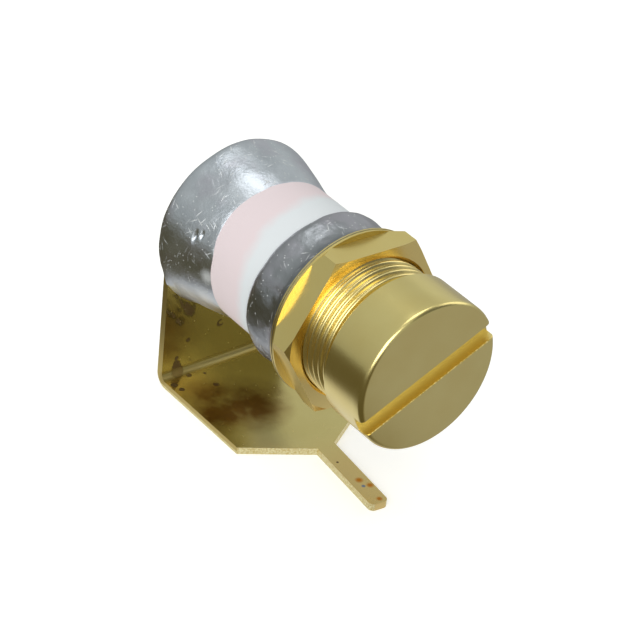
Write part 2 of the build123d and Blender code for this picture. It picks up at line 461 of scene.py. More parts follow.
burnt_spots = spots(tree, place, [
    (wall_front, -2.30, 0.42, 0.30), (wall_front, -2.32, 0.62, 0.24), (wall_front, -2.33, 0.84, 0.17),
    (wall_front, -2.35, 1.06, 0.10), (wall_front, -1.85, 1.76, 0.11), (-2.4, -1.92, sheet, 0.13),
    (-1.37, -1.34, sheet, 0.13), (-2.10, -2.80, sheet, 0.16), (-1.75, -2.70, sheet, 0.12),
    (-2.2, -1.3, sheet, 0.06), (5.0, -0.25, sheet, 0.05),
], 0.35)
ring_spot = spots(tree, place, [(wall_front, -0.36, 2.06, 0.17)], 0.12)
ring_hole = spots(tree, place, [(wall_front, -0.33, 2.08, 0.08), (wall_front, -0.22, 2.12, 0.09)], 0.3)
ring_stain = add_node(tree, "ShaderNodeMath", {
    0: ring_spot, 1: ring_hole}, operation="SUBTRACT", use_clamp=True)
dark_spots = add_node(tree, "ShaderNodeMath", {
    0: burnt_spots, 1: ring_stain.outputs[0]}, operation="MAXIMUM")
ragged = add_node(tree, "ShaderNodeTexNoise", {"Vector": place, "Scale": 5.0, "Detail": 4.0})
frayed = add_node(tree, "ShaderNodeMath", {
    0: dark_spots.outputs[0], 1: ragged.outputs["Fac"]}, operation="MULTIPLY")
burnt = add_node(tree, "ShaderNodeMapRange", {
    "Value": frayed.outputs[0], "From Min": 0.22, "From Max": 0.42, "To Min": 0.0, "To Max": 0.9})
all_burnt = add_node(tree, "ShaderNodeMath", {
    0: burnt.outputs[0], 1: drip_mask.outputs[0]}, operation="MAXIMUM")
stained = add_node(tree, "ShaderNodeMix", {
    0: all_burnt.outputs[0],
    6: barrel_shade_tint.outputs[2],
    7: linear("#44240C"),
}, data_type="RGBA")

# %% Gold on the terminal: marks on the pin
rust = spots(tree, place, [
    (6.28, -0.21, sheet, 0.13), (6.73, -0.04, sheet, 0.12), (7.55, -0.24, sheet, 0.10)], 0.5)
rusted = add_node(tree, "ShaderNodeMix", {
    0: rust,
    6: stained.outputs[2],
    7: linear("#D98A1E"),
}, data_type="RGBA")
solder_dot = spots(tree, place, [(6.65, -0.29, sheet, 0.075)], 0.3)
dotted = add_node(tree, "ShaderNodeMix", {
    0: solder_dot,
    6: rusted.outputs[2],
    7: linear("#8E98A6"),
}, data_type="RGBA")

# %% [markdown]
# ### Sheared edges
#
# The press cuts the sheet's edge and tears its lower part, which leaves a bright, grainy band. On the
# long sides the upper part is rolled smooth instead, and stays as calm as the faces.

# %% Gold on the terminal: sheared edges
sheared = facing(tree, "Y", 0.25, 0.45)
long_side = facing(tree, "Y", 0.80, 0.95)
nose_back = 2.36
burr_top = 0.11
behind_nose = add_node(tree, "ShaderNodeMath", {
    0: split.outputs["X"], 1: nose_back}, operation="LESS_THAN")
above_burr = add_node(tree, "ShaderNodeMath", {
    0: split.outputs["Z"], 1: burr_top}, operation="GREATER_THAN")
on_body = add_node(tree, "ShaderNodeMath", {
    0: long_side, 1: behind_nose.outputs[0]}, operation="MULTIPLY")
rolled = add_node(tree, "ShaderNodeMath", {
    0: on_body.outputs[0], 1: above_burr.outputs[0]}, operation="MULTIPLY")
tearing = add_node(tree, "ShaderNodeTexNoise", {
    "Vector": place, "Scale": 15.0, "Detail": 3.0, "Roughness": 0.8})
tear = add_node(tree, "ShaderNodeMapRange", {
    "Value": tearing.outputs["Fac"], "From Min": 0.40, "From Max": 0.60})
torn = add_node(tree, "ShaderNodeMix", {
    0: tear.outputs[0],
    6: linear("#DEC880"),
    7: linear("#FFF6C4"),
}, data_type="RGBA")
shear_tone = add_node(tree, "ShaderNodeMix", {
    0: rolled.outputs[0],
    6: torn.outputs[2],
    7: linear("#CDB873"),
}, data_type="RGBA")
edge_tone = add_node(tree, "ShaderNodeMix", {
    0: sheared,
    6: dotted.outputs[2],
    7: shear_tone.outputs[2],
}, data_type="RGBA")

# %% [markdown]
# ### Bend and flecks
#
# Folding stretches the plating along the inside of the bend into a faint matt line, darkened by painted
# shade.
# Small matt flecks break up its mirror. Burnt flux is no metal, so it hardly mirrors anything.

# %% Gold on the terminal: bend, flecks and shine
fleck_cells = add_node(tree, "ShaderNodeTexVoronoi", {"Vector": place, "Scale": 3.0})
fleck = add_node(tree, "ShaderNodeMapRange", {
    "Value": fleck_cells.outputs["Distance"], "From Min": 0.05,
    "From Max": 0.10, "To Min": 1.0, "To Max": 0.0,
})
bend_centre = (-2.62, 0.0, 0.38)
bend_line = 0.14
bend_fade = 0.30
bend_share = 0.50
bend = add_node(tree, "ShaderNodeVectorMath", {0: place, 1: (1.0, 0.0, 1.0)}, operation="MULTIPLY")
from_bend = add_node(tree, "ShaderNodeVectorMath", {
    0: bend.outputs[0], 1: bend_centre}, operation="DISTANCE")
at_bend = add_node(tree, "ShaderNodeMapRange", {
    "Value": from_bend.outputs["Value"],
    "From Min": bend_line,
    "From Max": bend_fade,
    "To Min": bend_share,
    "To Max": 0.0,
})
# Painted shade: the crease of the bend is darkened, on top of its real matt line.
bend_painted_shade = add_node(tree, "ShaderNodeMix", {
    0: at_bend.outputs[0],
    6: edge_tone.outputs[2],
    7: linear("#A08A4A"),
}, data_type="RGBA")
roughened = add_node(tree, "ShaderNodeMath", {0: sheared, 1: at_bend.outputs[0]}, operation="MAXIMUM")
rough_places = add_node(tree, "ShaderNodeMath", {
    0: fleck.outputs[0], 1: roughened.outputs[0]}, operation="MAXIMUM")
bare_metal = add_node(tree, "ShaderNodeMapRange", {
    "Value": all_burnt.outputs[0], "From Min": 0.60, "From Max": 0.95, "To Min": 1.0, "To Max": 0.3})
rolled_roughness = 0.19
torn_roughness = 0.48
sheet_gloss = add_node(tree, "ShaderNodeMapRange", {
    "Value": rough_places.outputs[0], "To Min": rolled_roughness, "To Max": torn_roughness})
sheet_bump = add_node(tree, "ShaderNodeBump", {
    "Height": grain.outputs["Fac"], "Strength": 0.3, "Distance": 0.006 * mm})
sheet_shine = add_node(tree, "ShaderNodeBsdfPrincipled", {
    "Base Color": bend_painted_shade.outputs[2],
    "Metallic": bare_metal.outputs[0],
    "Specular IOR Level": 0.25,
    "Roughness": sheet_gloss.outputs[0],
    "Normal": sheet_bump.outputs[0],
})
add_node(tree, "ShaderNodeOutputMaterial", {"Surface": sheet_shine.outputs[0]})
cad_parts["terminal_bracket"].material_slots[0].material = stamped_gold
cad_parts["stator"].material_slots[0].material = stamped_gold
print(stamped_gold.name, "is made of", len(tree.nodes), "nodes")

# %% [markdown]
# ## Gold plating on the turned bushing and rotor
#
# Bushing and rotor are turned from bar and look smoother than the sheet. Their gold is a little
# duller on the flats of the hexagon. Where gold mirrors gold, as between hexagon and thread, the light
# takes the metal's colour twice and turns orange; the faces turned along the barrel are painted a
# brighter yellow as painted light for it.

# %% Gold on the turned pieces
turned_gold, tree = new_material("gold plated turned brass")
place, split = object_place(tree)
cloud = add_node(tree, "ShaderNodeTexNoise", {"Vector": place, "Scale": 0.7, "Detail": 3.0})
worn_tone = add_node(tree, "ShaderNodeMix", {
    0: cloud.outputs["Fac"],
    6: linear("#F8E69C"),
    7: linear("#EFD888"),
}, data_type="RGBA")
along_barrel = facing(tree, "X", 0.30, 0.60)
# Painted light: faces turned along the barrel are painted a brighter yellow.
tone_with_painted_light = add_node(tree, "ShaderNodeMix", {
    0: along_barrel,
    6: worn_tone.outputs[2],
    7: linear("#FFE596"),
}, data_type="RGBA")
grain = add_node(tree, "ShaderNodeTexNoise", {"Vector": place, "Scale": 12.0, "Detail": 3.0})
fine_bump = add_node(tree, "ShaderNodeBump", {
    "Height": grain.outputs["Fac"], "Strength": 0.2, "Distance": 0.005 * mm})
flat_roughness = 0.36
turned_roughness = 0.24
satin = add_node(tree, "ShaderNodeMapRange", {
    "Value": along_barrel, "To Min": flat_roughness, "To Max": turned_roughness})
turned_shine = add_node(tree, "ShaderNodeBsdfPrincipled", {
    "Base Color": tone_with_painted_light.outputs[2],
    "Metallic": 1.0,
    "Roughness": satin.outputs[0],
    "Normal": fine_bump.outputs[0],
})
add_node(tree, "ShaderNodeOutputMaterial", {"Surface": turned_shine.outputs[0]})
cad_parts["bushing"].material_slots[0].material = turned_gold
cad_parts["rotor_rings"].material_slots[0].material = turned_gold
print(turned_gold.name, "is made of", len(tree.nodes), "nodes")

# %% [markdown]
# ## Broken edges
#
# Stamping, milling and turning leave edges that are never knife sharp. A narrow bevel on the CAD's own
# meshes gives each edge a thin line of light, as on the real metal.

# %% Broken edges
edge_degrees = 22
for node, width in (("terminal_bracket", 0.030), ("bushing", 0.035)):
    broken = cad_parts[node].modifiers.new("broken edges", "BEVEL")
    broken.width = width * mm
    broken.segments = 2
    broken.limit_method = "ANGLE"
    broken.angle_limit = math.radians(edge_degrees)
    broken.harden_normals = True
    print(node, "has its edges broken by", width, "mm")

# %% [markdown]
# ## Gold plating on the screw
#
# The head's plating is a little dull, like the hexagon's flats. The thread and the slot are painted a
# brighter, warmer gold, painted light for the gold they mirror. The saw left a fine burr on the slot's
# lower lip, painted pale and less metallic as a painted glint. The screw's own material paints all this
# by where it is. The slot is shallower here than in the CAD model, because the photograph shows its floor.

# %% Gold on the screw: thread and slot
slot_width = 0.70
slot_depth = 0.45
slot_angle = math.radians(24.0)
slot_off_centre = 0.10
screw_gold, tree = new_material("gold plated brass screw")
place, split = object_place(tree)
cloud = add_node(tree, "ShaderNodeTexNoise", {"Vector": place, "Scale": 0.8, "Detail": 4.0})
worn_tone = add_node(tree, "ShaderNodeMix", {
    0: cloud.outputs["Fac"],
    6: linear("#F8E8A1"),
    7: linear("#EDD88D"),
}, data_type="RGBA")
in_thread = add_node(tree, "ShaderNodeMath", {
    0: split.outputs["X"], 1: head_back - 0.01}, operation="LESS_THAN")
slot_normal = (0.0, -math.sin(slot_angle), math.cos(slot_angle))
across_slot = add_node(tree, "ShaderNodeVectorMath", {
    0: place, 1: slot_normal}, operation="DOT_PRODUCT")
slot_middle = axis_height * math.cos(slot_angle) - slot_off_centre
from_slot = add_node(tree, "ShaderNodeMath", {
    0: across_slot.outputs["Value"], 1: slot_middle}, operation="SUBTRACT")
slot_side = add_node(tree, "ShaderNodeMath", {0: from_slot.outputs[0]}, operation="ABSOLUTE")
within_slot = add_node(tree, "ShaderNodeMath", {
    0: slot_side.outputs[0], 1: slot_width / 2 + 0.005}, operation="LESS_THAN")
on_head = add_node(tree, "ShaderNodeMath", {
    0: split.outputs["X"], 1: head_front - slot_depth - 0.01}, operation="GREATER_THAN")
in_slot = add_node(tree, "ShaderNodeMath", {
    0: within_slot.outputs[0], 1: on_head.outputs[0]}, operation="MULTIPLY")
# Painted light: the thread and the slot get a brighter, warmer gold.
thread_or_slot = add_node(tree, "ShaderNodeMath", {
    0: in_slot.outputs[0], 1: in_thread.outputs[0]}, operation="MAXIMUM")
painted_light_thread_slot_tone = add_node(tree, "ShaderNodeMix", {
    0: thread_or_slot.outputs[0],
    6: worn_tone.outputs[2],
    7: linear("#FFEAA0"),
}, data_type="RGBA")

# %% Gold on the screw: burr with painted glint, and shine
lip_outset = 0.015
burr_core = 0.006
burr_reach = 0.024
burr_depth = 0.04
below_lip = add_node(tree, "ShaderNodeMath", {
    0: from_slot.outputs[0], 1: slot_width / 2 + lip_outset}, operation="ADD")
from_lip = add_node(tree, "ShaderNodeMath", {0: below_lip.outputs[0]}, operation="ABSOLUTE")
at_lip = add_node(tree, "ShaderNodeMapRange", {
    "Value": from_lip.outputs[0],
    "From Min": burr_core,
    "From Max": burr_reach,
    "To Min": 0.8,
    "To Max": 0.0,
})
at_front = add_node(tree, "ShaderNodeMath", {
    0: split.outputs["X"], 1: head_front - burr_depth}, operation="GREATER_THAN")
lip = add_node(tree, "ShaderNodeMath", {
    0: at_lip.outputs[0], 1: at_front.outputs[0]}, operation="MULTIPLY")
burr_noise = add_node(tree, "ShaderNodeTexNoise", {"Vector": place, "Scale": 10.0, "Detail": 4.0})
burr_share = add_node(tree, "ShaderNodeMapRange", {
    "Value": burr_noise.outputs["Fac"], "From Min": 0.42, "From Max": 0.66})
# The real burr is painted pale and less metallic, as a painted glint.
burr_painted_glint = add_node(tree, "ShaderNodeMath", {
    0: lip.outputs[0], 1: burr_share.outputs[0]}, operation="MULTIPLY")
tone_with_painted_light = add_node(tree, "ShaderNodeMix", {
    0: burr_painted_glint.outputs[0],
    6: painted_light_thread_slot_tone.outputs[2],
    7: linear("#FFF0B4"),
}, data_type="RGBA")
still_metal = add_node(tree, "ShaderNodeMath", {
    0: burr_painted_glint.outputs[0], 1: -0.7, 2: 1.0}, operation="MULTIPLY_ADD")
grain = add_node(tree, "ShaderNodeTexNoise", {"Vector": place, "Scale": 14.0, "Detail": 3.0})
smooth_thread = add_node(tree, "ShaderNodeMath", {
    0: 1.0, 1: in_thread.outputs[0]}, operation="SUBTRACT")
head_grain = add_node(tree, "ShaderNodeMath", {
    0: grain.outputs["Fac"], 1: smooth_thread.outputs[0]}, operation="MULTIPLY")
fine_bump = add_node(tree, "ShaderNodeBump", {
    "Height": head_grain.outputs[0], "Strength": 0.22, "Distance": 0.005 * mm})
screw_shine = add_node(tree, "ShaderNodeBsdfPrincipled", {
    "Base Color": tone_with_painted_light.outputs[2],
    "Metallic": still_metal.outputs[0],
    "Roughness": turned_roughness,
    "Normal": fine_bump.outputs[0],
})
add_node(tree, "ShaderNodeOutputMaterial", {"Surface": screw_shine.outputs[0]})
print(screw_gold.name, "is made of", len(tree.nodes), "nodes")

# %% [markdown]
# ## Ceramic
#
# The insulator is unglazed alumina, ground to size. It is white, and flux from the rear solder has
# tinted its rear half pink. Ground alumina is matt, with a faint soft shine.

# %% Ceramic
alumina, tree = new_material("unglazed alumina")
place, split = object_place(tree)
waver = add_node(tree, "ShaderNodeTexNoise", {"Vector": place, "Scale": 0.8, "Detail": 3.0})
slanted = add_node(tree, "ShaderNodeMath", {
    0: split.outputs["Y"], 1: 0.18, 2: split.outputs["X"]}, operation="MULTIPLY_ADD")
wavered = add_node(tree, "ShaderNodeMath", {
    0: waver.outputs["Fac"], 1: 0.7, 2: slanted.outputs[0]}, operation="MULTIPLY_ADD")
front_part = add_node(tree, "ShaderNodeMapRange", {
    "Value": wavered.outputs[0], "From Min": 1.0, "From Max": 1.65}, interpolation_type="SMOOTHSTEP")
tint = add_node(tree, "ShaderNodeMix", {
    0: front_part.outputs[0],
    6: linear("#F2E1E5"),
    7: linear("#ECF0F4"),
}, data_type="RGBA")
ground = add_node(tree, "ShaderNodeTexNoise", {"Vector": place, "Scale": 14.0, "Detail": 3.0})
ground_bump = add_node(tree, "ShaderNodeBump", {
    "Height": ground.outputs["Fac"], "Strength": 0.1, "Distance": 0.003 * mm})
ground_roughness = 0.55
alumina_ior = 1.76
alumina_face = add_node(tree, "ShaderNodeBsdfPrincipled", {
    "Base Color": tint.outputs[2],
    "Roughness": ground_roughness,
    "IOR": alumina_ior,
    "Normal": ground_bump.outputs[0],
})
add_node(tree, "ShaderNodeOutputMaterial", {"Surface": alumina_face.outputs[0]})
print(alumina.name, "is made of", len(tree.nodes), "nodes")

# %% [markdown]
# ## Solder
#
# Tin-lead solder sets with a bright skin that soon dulls to grey and lilac. It is soft, so handling
# leaves scratches and dents. The front bead is a darker grey than the rear one.

# %% Solder: colour
tin_solder, tree = new_material("tin lead solder")
place, split = object_place(tree)
cloud = add_node(tree, "ShaderNodeTexNoise", {
    "Vector": place, "Scale": 1.1, "Detail": 5.0, "Roughness": 0.6})
skin = add_node(tree, "ShaderNodeMix", {
    0: cloud.outputs["Fac"],
    6: linear("#BDC4CE"),
    7: linear("#DCE2E8"),
}, data_type="RGBA")
front_band = add_node(tree, "ShaderNodeMapRange", {
    "Value": split.outputs["X"], "From Min": 1.0, "From Max": 1.4})
grey = add_node(tree, "ShaderNodeMix", {
    0: front_band.outputs[0],
    6: skin.outputs[2],
    7: linear("#A6AAAF"),
}, data_type="RGBA")
hue_cloud = add_node(tree, "ShaderNodeTexNoise", {"Vector": place, "Scale": 0.9, "Detail": 2.0})
lilac_mask = add_node(tree, "ShaderNodeMapRange", {
    "Value": hue_cloud.outputs["Fac"], "From Min": 0.48,
    "From Max": 0.70, "To Min": 0.0, "To Max": 0.55,
})
lilac = add_node(tree, "ShaderNodeMix", {
    0: lilac_mask.outputs[0],
    6: grey.outputs[2],
    7: linear("#C6C2CE"),
}, data_type="RGBA")

# %% [markdown]
# ### Scratches
#
# Each scratch is one cell of a pattern of cells on the unrolled bead, which is stretched along the
# stroke. Four patterns give four directions, and a cloud keeps them to the places that were handled.
# The scratches are painted pale and less metallic, a painted highlight that stays bright where the skin is
# dark.

# %% Solder: scratches
below_axis = add_node(tree, "ShaderNodeMath", {
    0: axis_height, 1: split.outputs["Z"]}, operation="SUBTRACT")
sideways = add_node(tree, "ShaderNodeMath", {0: split.outputs["Y"], 1: -1.0}, operation="MULTIPLY")
around = add_node(tree, "ShaderNodeMath", {
    0: below_axis.outputs[0], 1: sideways.outputs[0]}, operation="ARCTAN2")
arc = add_node(tree, "ShaderNodeMath", {0: around.outputs[0], 1: ceramic_radius}, operation="MULTIPLY")
unrolled = add_node(tree, "ShaderNodeCombineXYZ", {0: split.outputs["X"], 1: arc.outputs[0]})
stroke_length = 1.3
stroke_width = 0.16
scratch_mask = None
for stroke_degrees, shift in ((25, 0.0), (75, 7.3), (-40, 15.1), (110, 22.9)):
    turned_place = add_node(tree, "ShaderNodeMapping", {
        "Vector": unrolled.outputs[0],
        "Location": (shift, shift, 0.0),
        "Rotation": (0.0, 0.0, math.radians(stroke_degrees)),
        "Scale": (stroke_length, stroke_width, 1.0),
    }, vector_type="TEXTURE")
    strokes = add_node(tree, "ShaderNodeTexVoronoi", {
        "Vector": turned_place.outputs[0], "Scale": 1.0}, voronoi_dimensions="2D")
    kept = add_node(tree, "ShaderNodeMapRange", {
        "Value": strokes.outputs["Color"], "From Min": 0.54, "From Max": 0.70})
    stroke = add_node(tree, "ShaderNodeMapRange", {
        "Value": strokes.outputs["Distance"], "From Min": 0.05,
        "From Max": 0.16, "To Min": 0.75, "To Max": 0.0,
    })
    line = add_node(tree, "ShaderNodeMath", {
        0: stroke.outputs[0], 1: kept.outputs[0]}, operation="MULTIPLY")
    if scratch_mask is None:
        scratch_mask = line.outputs[0]
    else:
        both = add_node(tree, "ShaderNodeMath", {
            0: scratch_mask, 1: line.outputs[0]}, operation="MAXIMUM")
        scratch_mask = both.outputs[0]
patchy = add_node(tree, "ShaderNodeTexNoise", {"Vector": place, "Scale": 1.6, "Detail": 2.0})
where_scratched = add_node(tree, "ShaderNodeMapRange", {
    "Value": patchy.outputs["Fac"], "From Min": 0.46, "From Max": 0.58})
scratches = add_node(tree, "ShaderNodeMath", {
    0: scratch_mask, 1: where_scratched.outputs[0]}, operation="MULTIPLY")

# %% Solder: lumps, flux and glints
lumps = add_node(tree, "ShaderNodeTexNoise", {
    "Vector": place, "Scale": 1.8, "Detail": 2.0, "Roughness": 0.5})
pebbles = add_node(tree, "ShaderNodeTexNoise", {
    "Vector": place, "Scale": 9.0, "Detail": 2.0, "Roughness": 0.5})
lump_bump = add_node(tree, "ShaderNodeBump", {
    "Height": lumps.outputs["Fac"], "Strength": 0.15, "Distance": 0.04 * mm})
pebble_bump = add_node(tree, "ShaderNodeBump", {
    "Height": pebbles.outputs["Fac"], "Strength": 0.50,
    "Distance": 0.016 * mm, "Normal": lump_bump.outputs[0],
})
flux = spots(tree, place, [(-1.7, -2.5, 4.6, 0.9), (-0.6, -2.9, 5.1, 0.5), (-0.35, -2.95, 6.4, 0.25)], 0.6)
fluxed = add_node(tree, "ShaderNodeMath", {0: flux, 1: 0.7}, operation="MULTIPLY")
# Painted glints: small pale cells, less metallic, scattered over the solder.
painted_glint_cells = add_node(tree, "ShaderNodeTexVoronoi", {"Vector": place, "Scale": 5.0})
painted_glint = add_node(tree, "ShaderNodeMapRange", {
    "Value": painted_glint_cells.outputs["Distance"], "From Min": 0.08,
    "From Max": 0.16, "To Min": 0.9, "To Max": 0.0,
})
scratches_and_painted_glints = add_node(tree, "ShaderNodeMath", {
    0: scratches.outputs[0], 1: painted_glint.outputs[0]}, operation="MAXIMUM")
pale_marks_and_painted_glints = add_node(tree, "ShaderNodeMath", {
    0: scratches_and_painted_glints.outputs[0], 1: fluxed.outputs[0]}, operation="MAXIMUM")
# Scratches and glints are painted pale as painted highlights; the flux is pale as well.
paled = add_node(tree, "ShaderNodeMix", {
    0: pale_marks_and_painted_glints.outputs[0],
    6: lilac.outputs[2],
    7: linear("#E4E6E6"),
}, data_type="RGBA")
still_metal = add_node(tree, "ShaderNodeMath", {
    0: pale_marks_and_painted_glints.outputs[0], 1: -0.75, 2: 1.0}, operation="MULTIPLY_ADD")

# %% Solder: skin
scratch_bump = add_node(tree, "ShaderNodeBump", {
    "Height": scratches.outputs[0], "Strength": 0.6,
    "Distance": 0.010 * mm, "Normal": pebble_bump.outputs[0]},
    invert=True)
bright_roughness = 0.30
dull_roughness = 0.38
scratch_roughness = 0.25
dulled = add_node(tree, "ShaderNodeMapRange", {
    "Value": cloud.outputs["Fac"],
    "From Min": 0.35,
    "From Max": 0.65,
    "To Min": bright_roughness,
    "To Max": dull_roughness,
})
solder_gloss = add_node(tree, "ShaderNodeMath", {
    0: scratches.outputs[0], 1: scratch_roughness, 2: dulled.outputs[0]}, operation="MULTIPLY_ADD")
solder_face = add_node(tree, "ShaderNodeBsdfPrincipled", {
    "Base Color": paled.outputs[2],
    "Metallic": still_metal.outputs[0],
    "Roughness": solder_gloss.outputs[0],
    "Normal": scratch_bump.outputs[0],
})
add_node(tree, "ShaderNodeOutputMaterial", {"Surface": solder_face.outputs[0]})
print(tin_solder.name, "is made of", len(tree.nodes), "nodes")


# %% [markdown]
# ## Turned and poured shapes
#
# The screw and both beads of solder are round about the barrel. Each is a skin of rings, and a small
# function moves its points: for the screw it cuts the thread, for the solder it makes the lumps.

# %% Skins round the barrel
def skin_round_barrel(profile, segments, shape=None, closed=False):
    """A bmesh turned about the barrel. profile lists (x, radius) in millimetres, and shape may move
    each point: it is given x, radius and angle and returns x and radius. A point on the axis becomes
    one vertex. A closed profile joins its end to its start, as in a ring."""
    mesh = bmesh.new()
    rings = []
    for x, radius in profile:
        if radius == 0:
            rings.append([mesh.verts.new((x * mm, 0, axis_height * mm))])
            continue
        ring = []
        for step in range(segments):
            angle = 2 * math.pi * step / segments
            moved_x, moved_radius = shape(x, radius, angle) if shape else (x, radius)
            ring.append(mesh.verts.new((
                moved_x * mm,
                moved_radius * math.cos(angle) * mm,
                (axis_height + moved_radius * math.sin(angle)) * mm,
            )))
        rings.append(ring)
    pairs = list(zip(rings, rings[1:]))
    if closed:
        pairs.append((rings[-1], rings[0]))
    for back, front in pairs:
        for step in range(segments):
            after = (step + 1) % segments
            if len(back) == 1:
                mesh.faces.new((back[0], front[after], front[step]))
            elif len(front) == 1:
                mesh.faces.new((back[step], back[after], front[0]))
            else:
                mesh.faces.new((back[step], back[after], front[after], front[step]))
    bmesh.ops.recalc_face_normals(mesh, faces=mesh.faces)
    return mesh


def ease(value, low, high):
    """Goes smoothly from 0 at low to 1 at high."""
    share = min(1.0, max(0.0, (value - low) / (high - low)))
    return share * share * (3 - 2 * share)


def smooth(piece, degrees):
    """Shades a piece smooth, and keeps edges sharp where faces meet at more than the angle."""
    piece.data.shade_smooth()
    piece.data.set_sharp_from_angle(angle=math.radians(degrees))


# %% [markdown]
# ## The tuning screw
#
# Head, thread and spigot are turned from one bar, and the slot is sawn across the head. The thread is
# 80 to the inch: in a grid with 24 rows to each turn of the thread, the radius follows a rounded wave
# that moves on with the angle, which is what a helix is. The slot is cut by a Boolean modifier, and
# its rim is broken a little, because a sawn edge in soft brass is never sharp.

# %% Screw blank with its thread
screw_segments = 256
thread_depth = 0.15
thread_crest = 0.07
rows_per_pitch = 24
shank_back = 4.10
spigot_radius = 0.45
shank_chamfer = 0.15
relief_width = 0.16
relief_depth = 0.18
head_round = 0.18
head_rear_chamfer = 0.05
threaded_from = shank_back + shank_chamfer
threaded_to = head_back - relief_width
groove_origin = shank_back - thread_pitch

head_side = [(head_back, head_radius - head_rear_chamfer), (head_back + head_rear_chamfer, head_radius)]
for step in range(1, 9):
    straight = head_length - head_rear_chamfer - head_round
    head_side.append((head_back + head_rear_chamfer + step / 8 * straight, head_radius))
for step in range(1, 9):
    turn = math.radians(90 * step / 8)
    head_side.append((
        head_front - head_round + head_round * math.sin(turn),
        head_radius - head_round + head_round * math.cos(turn),
    ))
rows = int((threaded_to - threaded_from) / thread_pitch * rows_per_pitch)
thread_rows = [
    (threaded_from + (threaded_to - threaded_from) * row / rows, thread_radius) for row in range(rows + 1)
]
screw_profile = (
    [(screw_back, 0), (screw_back, spigot_radius), (shank_back, spigot_radius)]
    + [(shank_back, thread_radius - shank_chamfer)]
    + thread_rows
    + [(threaded_to + 0.01, thread_radius - relief_depth), (head_back, thread_radius - relief_depth)]
    + head_side
    + [(head_front, 0)]
)


def cut_thread(x, radius, angle):
    """Lowers the shank into a V-shaped helical groove, right-handed about +X."""
    if radius != thread_radius:
        return x, radius
    turn = ((x - groove_origin) / thread_pitch - angle / (2 * math.pi) + 0.25) % 1
    groove = abs(2 * turn - 1)
    crest = thread_crest / thread_pitch
    return x, radius - ease(groove, crest / 2, 1.0) * thread_depth


mesh = skin_round_barrel(screw_profile, screw_segments, cut_thread)
screw = mesh_object("tuning_screw", mesh, screw_gold)

# %% Slot across the head
mesh = bmesh.new()
bmesh.ops.create_cube(mesh, size=1.0)
saw = mesh_object("saw", mesh, screw_gold)
saw.scale = (2 * slot_depth * mm, 3 * head_radius * mm, slot_width * mm)
saw.rotation_euler = (slot_angle, 0, 0)
saw.location = (
    head_front * mm,
    slot_off_centre * math.sin(slot_angle) * mm,
    (axis_height - slot_off_centre * math.cos(slot_angle)) * mm,
)
cut = screw.modifiers.new("slot", "BOOLEAN")
cut.object = saw
cut.solver = "EXACT"
bpy.context.view_layer.update()
cut_data = bpy.data.meshes.new_from_object(screw.evaluated_get(bpy.context.evaluated_depsgraph_get()))
screw.modifiers.clear()
screw.data = cut_data
bpy.data.objects.remove(saw)

# %% Broken rim of the slot
rim_break = 0.022
slot_across = Vector(slot_normal)
mesh = bmesh.new()
mesh.from_mesh(screw.data)
rim = []
for edge in mesh.edges:
    ends = [end.co / mm for end in edge.verts]
    beside = all(abs(abs(end.dot(slot_across) - slot_middle) - slot_width / 2) < 0.001 for end in ends)
    above_floor = all(end.x > head_front - slot_depth + 0.001 for end in ends)
    if beside and above_floor and edge.calc_face_angle(0.0) > math.radians(30):
        rim.append(edge)
bmesh.ops.bevel(mesh, geom=rim, offset=rim_break * mm, segments=2, affect="EDGES", clamp_overlap=True)
mesh.to_mesh(screw.data)
mesh.free()
smooth(screw, 32)
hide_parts("drive_screw")
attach(screw, "screw")
print("rim edges", len(rim), "and the screw has", len(screw.data.polygons), "faces")


# %% [markdown]
# ## The ceramic tube
#
# The tube is pressed and fired, then ground round. It is turned here again in finer steps than the CAD
# model's facets, which would show as faint lines in its even shade.

# %% Ceramic tube
ceramic_back, ceramic_front = span("ceramic_ring")
ceramic_wall = 0.53
ceramic_bore = ceramic_radius - ceramic_wall
tube_segments = 256
tube_profile = [
    (ceramic_back, ceramic_bore), (ceramic_back, ceramic_radius),
    (ceramic_front, ceramic_radius), (ceramic_front, ceramic_bore),
]
mesh = skin_round_barrel(tube_profile, tube_segments, closed=True)
ceramic_tube = mesh_object("ceramic_tube", mesh, alumina)
smooth(ceramic_tube, 60)
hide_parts("ceramic_ring")
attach(ceramic_tube, "housing")
print("ceramic tube from", round(ceramic_back, 2), "to", round(ceramic_front, 2), "mm")

# %% [markdown]
# ## The beads of solder
#
# Solder wets what it touches and sets as a smooth bead with gentle lumps. The rear bead holds wall,
# electrode and ceramic together: it wraps round the half-round top of the wall, and lower down it
# ends in a fillet on the wall's face. The front bead runs from the ceramic up to the bushing's
# shoulder. Where each bead ends on the ceramic was measured at a few angles round the barrel.

# %% Helpers for solder
def lump(x, angle, size, seed):
    """Gentle noise round the barrel, between -1 and 1. size is the width of a lump in millimetres."""
    spot = Vector((x, ceramic_radius * math.cos(angle), ceramic_radius * math.sin(angle))) / size
    return noise.noise(spot + Vector((seed, 0, 0)))


def swelling(x, angle, lumps):
    """Lumps of several sizes added up. lumps lists (height, size, seed), in millimetres."""
    return sum(height * lump(x, angle, size, seed) for height, size, seed in lumps)


def along_angles(angle, marks):
    """Eases from mark to mark round the barrel. marks lists (degrees, value), and the ends join."""
    degrees = math.degrees(angle) % 360
    turned_marks = [(marks[-1][0] - 360, marks[-1][1])] + marks + [(marks[0][0] + 360, marks[0][1])]
    for (low, value), (high, next_value) in zip(turned_marks, turned_marks[1:]):
        if low <= degrees <= high:
            return value + (next_value - value) * ease(degrees, low, high)
    return marks[0][1]


def dent(x, angle, at_x, at_degrees, reach_along, reach_around):
    """A dent, 1 at its middle and 0 beyond its reach along and around the barrel, in millimetres."""
    around = math.radians((math.degrees(angle) - at_degrees + 180) % 360 - 180) * ceramic_radius
    return 1 - ease(math.hypot((x - at_x) / reach_along, around / reach_around), 0.0, 1.0)


